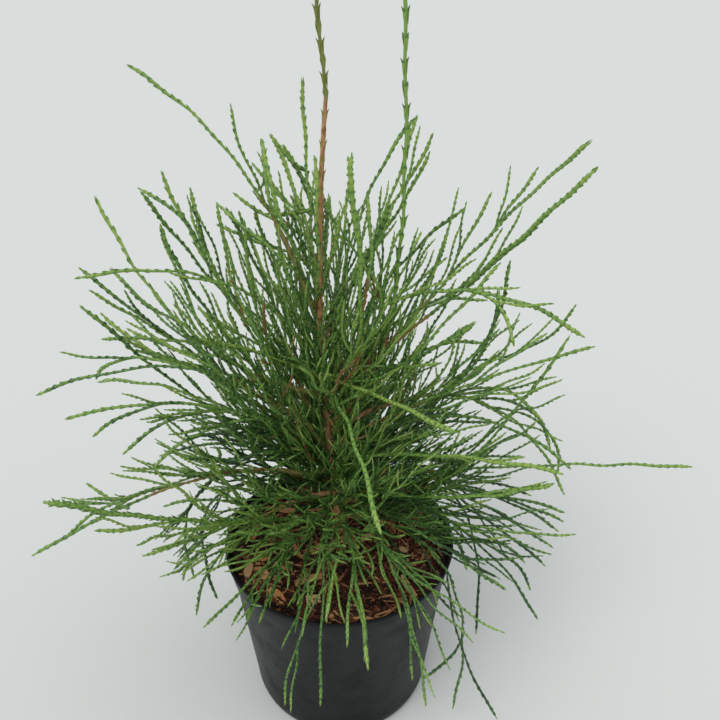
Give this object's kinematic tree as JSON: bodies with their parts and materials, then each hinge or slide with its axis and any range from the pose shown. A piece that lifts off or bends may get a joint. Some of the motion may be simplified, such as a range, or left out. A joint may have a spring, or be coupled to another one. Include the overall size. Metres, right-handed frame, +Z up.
{
  "type": "potted filiformis eastern arborvitae",
  "caption": "Young thread-leaf conifer with long whip-like green shoots and two tall leaders, in a round black plastic nursery pot of bark compost.",
  "frame": {"origin": "centre of the pot's flat underside, where the pot stands", "axes": "+Z up along the pot's axis, -Y towards the viewer of the reference view, +X to that viewer's right"},
  "size_m": [0.359, 0.2518, 0.431],
  "materials": {
    "pot": "black moulded plastic, satin, a little dusty",
    "compost": "moist dark brown bark fibre with pale wood chips",
    "bark": "thin reddish brown bark, dull",
    "foliage": "green scale leaves, waxy, yellow-green at the tips"
  },
  "bodies": {
    "root": {"bough_left_brown": "bark", "bough_left_far_high": "bark", "bough_left_hang": "bark", "bough_left_low_arch": "bark", "bough_left_mid": "bark", "bough_left_upright": "bark", "bough_left_wide": "bark", "bough_right_bend": "bark", "bough_right_bottom": "bark", "bough_right_droop": "bark", "bough_right_far": "bark", "bough_right_high": "bark", "bough_right_high_back": "bark", "bough_second_leader": "bark", "foliage_back_high": "foliage", "foliage_back_left": "foliage", "foliage_back_low": "foliage", "foliage_back_low_left": "foliage", "foliage_back_low_right": "foliage", "foliage_back_mid": "foliage", "foliage_back_right": "foliage", "foliage_front_left_hang": "foliage", "foliage_front_left_long": "foliage", "foliage_front_mid": "foliage", "foliage_front_right_long": "foliage", "foliage_front_right_up": "foliage", "foliage_front_up": "foliage", "foliage_leader_top": "foliage", "foliage_left_arch": "foliage", "foliage_left_brown": "foliage", "foliage_left_far_high": "foliage", "foliage_left_front_long": "foliage", "foliage_left_hang": "foliage", "foliage_left_low": "foliage", "foliage_left_low_arch": "foliage", "foliage_left_mid": "foliage", "foliage_left_upright": "foliage", "foliage_left_wide": "foliage", "foliage_right_arch": "foliage", "foliage_right_bend": "foliage", "foliage_right_bottom": "foliage", "foliage_right_diagonal": "foliage", "foliage_right_droop": "foliage", "foliage_right_far": "foliage", "foliage_right_front": "foliage", "foliage_right_hang": "foliage", "foliage_right_high": "foliage", "foliage_right_high_back": "foliage", "foliage_right_mid": "foliage", "foliage_right_up_thin": "foliage", "foliage_second_leader": "foliage", "foliage_top_back_left": "foliage", "foliage_top_back_right": "foliage", "foliage_top_front": "foliage", "foliage_top_left": "foliage", "foliage_top_right": "foliage", "pot": "pot", "soil": "compost", "trunk": "bark"}
  },
  "joints": []
}
